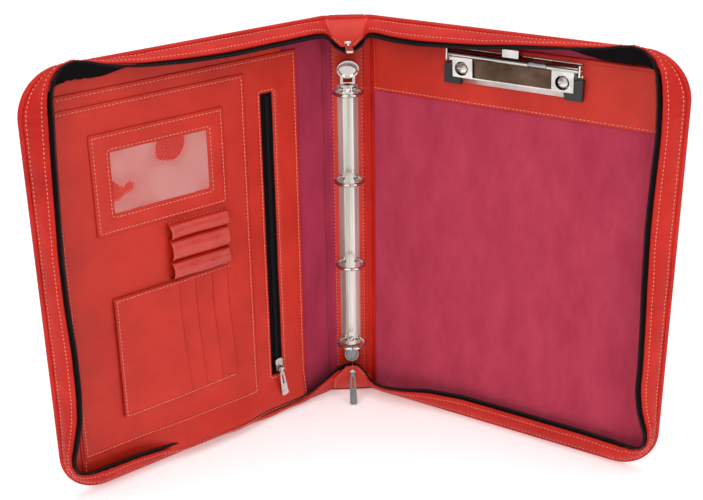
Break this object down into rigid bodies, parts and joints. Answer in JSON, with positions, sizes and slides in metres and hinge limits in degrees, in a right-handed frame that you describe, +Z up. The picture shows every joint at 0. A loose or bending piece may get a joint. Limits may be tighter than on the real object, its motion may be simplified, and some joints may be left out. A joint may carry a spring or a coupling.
{
  "type": "zip-round ring binder portfolio case",
  "caption": "Leather portfolio case that zips round three sides, with a ring binder in the spine, an organiser panel on one cover and a clipboard clip on the other.",
  "frame": {"origin": "on the ground under the middle of the spine, on the line between the two cover hinges", "axes": "+X across the spine to the clipboard cover, +Y out of the back of the spine, +Z up along the spine as the case stands on its bottom edges"},
  "size_m": [0.4982, 0.1859, 0.36],
  "materials": {
    "red_leather": "smooth coated leather with fine grain, coral stitching",
    "suede": "raspberry suede-look lining, matt",
    "board": "grey board stiffener",
    "zip_tape": "black woven zip tape",
    "zip_teeth": "black nylon coil",
    "chrome": "polished plating",
    "spring_steel": "plain spring steel",
    "black_rubber": "moulded, satin",
    "clear_film": "clear flexible film, creased"
  },
  "bodies": {
    "spine": {"spine_leather": "red_leather", "spine_board": "board", "spine_lining": "red_leather", "spine_end_top": "red_leather", "spine_end_bottom": "red_leather", "ring_rail": "chrome", "rail_rivet_top": "chrome", "rail_rivet_bottom": "chrome", "slider_top": "chrome", "slider_bottom": "chrome"},
    "left_cover": {"left_cover_leather": "red_leather", "left_cover_board": "board", "left_cover_lining": "suede", "left_gusset": "red_leather", "left_zip_tape": "zip_tape", "left_zip_teeth": "zip_teeth", "card_pocket_1": "red_leather", "card_pocket_2": "red_leather", "card_pocket_3": "red_leather", "card_pocket_4": "red_leather", "pen_loop_1": "red_leather", "pen_loop_2": "red_leather", "pen_loop_3": "red_leather", "organiser_panel": "red_leather", "pocket_panel": "red_leather", "id_window": "clear_film", "id_frame": "red_leather", "inner_zip_tape": "zip_tape", "inner_zip_teeth": "zip_teeth"},
    "right_cover": {"right_cover_leather": "red_leather", "right_cover_board": "board", "right_cover_lining": "suede", "right_gusset": "red_leather", "right_zip_tape": "zip_tape", "right_zip_teeth": "zip_teeth", "right_top_band": "red_leather", "clip_base": "chrome", "clip_pin": "chrome", "clip_spring": "spring_steel", "clip_screw_1": "chrome", "clip_screw_2": "chrome"},
    "rings_left": {"ring_blade_left": "spring_steel", "ring_1_left": "chrome", "ring_2_left": "chrome", "ring_3_left": "chrome", "ring_4_left": "chrome"},
    "rings_right": {"ring_blade_right": "spring_steel", "ring_1_right": "chrome", "ring_2_right": "chrome", "ring_3_right": "chrome", "ring_4_right": "chrome"},
    "trigger_top": {"trigger_top": "chrome"},
    "trigger_bottom": {"trigger_bottom": "chrome"},
    "clip_jaw": {"clip_jaw": "chrome", "clip_corner_near": "black_rubber", "clip_corner_far": "black_rubber"},
    "inner_slider": {"inner_zip_slider": "chrome"},
    "inner_pull": {"inner_zip_pull": "chrome"},
    "pull_top": {"slider_pull_top": "chrome"},
    "pull_bottom": {"slider_pull_bottom": "chrome"}
  },
  "joints": [
    {"name": "left_cover_hinge", "type": "hinge", "parent": "spine", "child": "left_cover", "pos_m": [-0.02, 0, 0.18], "axis": [0, 0, -1], "range_deg": [-51, 35.75]},
    {"name": "right_cover_hinge", "type": "hinge", "parent": "spine", "child": "right_cover", "pos_m": [0.02, 0, 0.18], "axis": [0, 0, 1], "range_deg": [-51, 35.75]},
    {"name": "rings_open_left", "type": "hinge", "parent": "spine", "child": "rings_left", "pos_m": [-0.0066, -0.003, 0.177], "axis": [0, 0, -1], "range_deg": [0, 20]},
    {"name": "rings_open_right", "type": "hinge", "parent": "spine", "child": "rings_right", "pos_m": [0.0066, -0.003, 0.177], "axis": [0, 0, 1], "range_deg": [0, 20]},
    {"name": "trigger_top_hinge", "type": "hinge", "parent": "spine", "child": "trigger_top", "pos_m": [0, -0.0056, 0.3032], "axis": [-1, 0, 0], "range_deg": [0, 22]},
    {"name": "trigger_bottom_hinge", "type": "hinge", "parent": "spine", "child": "trigger_bottom", "pos_m": [0, -0.0056, 0.0488], "axis": [1, 0, 0], "range_deg": [0, 22]},
    {"name": "clip_jaw_hinge", "type": "hinge", "parent": "right_cover", "child": "clip_jaw", "pos_m": [0.12642, -0.08795, 0.339], "axis": [-0.8116, 0.5842, 0], "range_deg": [0, 24], "stiffness_Nm_per_rad": 0.3, "springref_deg": -22.92},
    {"name": "inner_zip_slide", "type": "slide", "parent": "left_cover", "child": "inner_slider", "axis": [0, 0, 1], "range_m": [0, 0.243]},
    {"name": "inner_pull_swing", "type": "hinge", "parent": "inner_slider", "child": "inner_pull", "pos_m": [-0.06639, -0.0451, 0.049], "axis": [-0.8116, -0.5842, 0], "range_deg": [0, 110]},
    {"name": "pull_top_swing", "type": "hinge", "parent": "spine", "child": "pull_top", "pos_m": [0, -0.0186, 0.3406], "axis": [1, 0, 0], "range_deg": [-100, 85]},
    {"name": "pull_bottom_swing", "type": "hinge", "parent": "spine", "child": "pull_bottom", "pos_m": [0, -0.0185, 0.0295], "axis": [-1, 0, 0], "range_deg": [0, 115]}
  ],
  "couplings": [
    {"joint": "rings_open_right", "follows": "rings_open_left", "ratio": 1},
    {"joint": "trigger_top_hinge", "follows": "rings_open_left", "ratio": 1.1},
    {"joint": "trigger_bottom_hinge", "follows": "rings_open_left", "ratio": 1.1}
  ]
}
